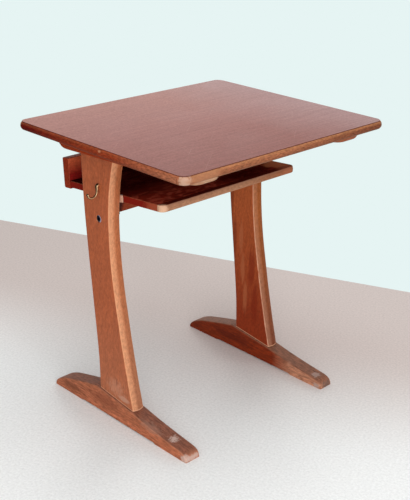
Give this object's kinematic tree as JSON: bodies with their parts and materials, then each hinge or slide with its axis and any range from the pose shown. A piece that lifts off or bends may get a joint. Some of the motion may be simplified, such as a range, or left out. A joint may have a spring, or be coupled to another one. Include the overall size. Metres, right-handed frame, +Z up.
{
  "type": "school desk",
  "caption": "Pupil's school desk: worktop on two curved trestle legs with long feet, a tilted book shelf under the top and a bag hook.",
  "frame": {"origin": "on the floor, under the middle of the worktop", "axes": "+X to the pupil's right along the worktop's width, +Y away from the pupil, +Z up"},
  "size_m": [0.66, 0.556, 0.71],
  "materials": {
    "worn_surface_sheet": "matt, dusty",
    "stained_beech": "red-brown stain under a worn satin varnish",
    "light_beech_edging": "clear satin varnish, rubbed at the corners",
    "dark_shelf_board": "dark stain, dusty satin varnish",
    "darkened_steel": "dull, darkened",
    "brass": "worn bright"
  },
  "bodies": {
    "root": {"top_surface": "worn_surface_sheet", "top_core": "stained_beech", "bearer_left": "stained_beech", "bearer_right": "stained_beech", "leg_left": "stained_beech", "leg_right": "stained_beech", "foot_left": "stained_beech", "foot_right": "stained_beech", "corner_block_left": "stained_beech", "corner_block_right": "stained_beech", "shelf_rail": "stained_beech", "shelf_back_panel": "stained_beech", "top_lipping_front": "light_beech_edging", "top_lipping_rear": "light_beech_edging", "top_lipping_left": "light_beech_edging", "top_lipping_right": "light_beech_edging", "shelf_lipping": "light_beech_edging", "shelf_spacer_left": "light_beech_edging", "shelf_spacer_right": "light_beech_edging", "shelf_board": "dark_shelf_board", "rail_bolt_left": "darkened_steel", "rail_bolt_right": "darkened_steel", "bolt_washer_left": "darkened_steel", "bolt_washer_right": "darkened_steel", "bolt_nut_left": "darkened_steel", "bolt_nut_right": "darkened_steel", "top_screw_left_1": "darkened_steel", "top_screw_left_2": "darkened_steel", "top_screw_left_3": "darkened_steel", "top_screw_left_4": "darkened_steel", "top_screw_right_1": "darkened_steel", "top_screw_right_2": "darkened_steel", "top_screw_right_3": "darkened_steel", "top_screw_right_4": "darkened_steel", "rail_screw_left_1": "darkened_steel", "rail_screw_left_2": "darkened_steel", "rail_screw_right_1": "darkened_steel", "rail_screw_right_2": "darkened_steel", "shelf_screw_1": "darkened_steel", "shelf_screw_2": "darkened_steel", "shelf_screw_3": "darkened_steel", "back_panel_screw_1": "darkened_steel", "back_panel_screw_2": "darkened_steel", "back_panel_screw_3": "darkened_steel", "back_panel_screw_4": "darkened_steel", "bag_hook": "brass"}
  },
  "joints": []
}
